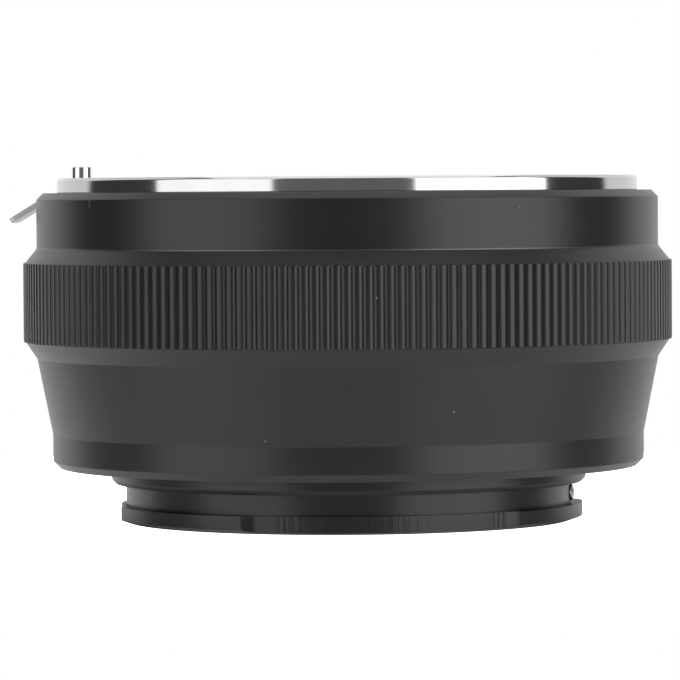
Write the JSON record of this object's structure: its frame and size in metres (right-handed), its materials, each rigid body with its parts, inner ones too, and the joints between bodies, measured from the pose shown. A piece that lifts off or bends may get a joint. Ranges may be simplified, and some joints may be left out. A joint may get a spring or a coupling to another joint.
{
  "type": "lens mount adapter",
  "caption": "Round adapter that carries a bayonet lens on a camera body with a shorter register: knurled black barrel, chromed lens ring with sprung lock pin and lever, black camera bayonet.",
  "frame": {"origin": "on the optical axis at the end face of the camera bayonet, which the adapter stands on", "axes": "+Z along the optical axis towards the lens, -X towards the lock pin and release lever"},
  "size_m": [0.0656, 0.064, 0.035],
  "materials": {
    "black_anodised": "satin black anodised",
    "black_bayonet": "satin black anodised, turned and milled",
    "chromed_brass": "satin chrome on a turned face",
    "plated_screw": "nickel plated",
    "black_screw": "black oxide",
    "ground_steel": "ground bright",
    "stainless_strip": "rolled stainless strip",
    "spring_steel": "spring steel"
  },
  "bodies": {
    "housing": {"barrel": "black_anodised", "lens_mount_ring": "chromed_brass", "lens_mount_screws": "plated_screw", "leaf_spring_1": "spring_steel", "leaf_spring_2": "spring_steel", "leaf_spring_3": "spring_steel", "leaf_spring_rivets": "spring_steel", "lock_spring": "spring_steel", "camera_mount": "black_bayonet", "camera_mount_screws": "black_screw", "stop_screw": "plated_screw"},
    "lock": {"lock_pin": "ground_steel", "release_lever": "stainless_strip"}
  },
  "joints": [
    {"name": "lock_release", "type": "slide", "parent": "housing", "child": "lock", "axis": [0, 0, -1], "range_m": [0, 0.0013], "stiffness_N_per_m": 600, "springref_m": -0.0015, "deforming": ["lock_spring"]}
  ]
}
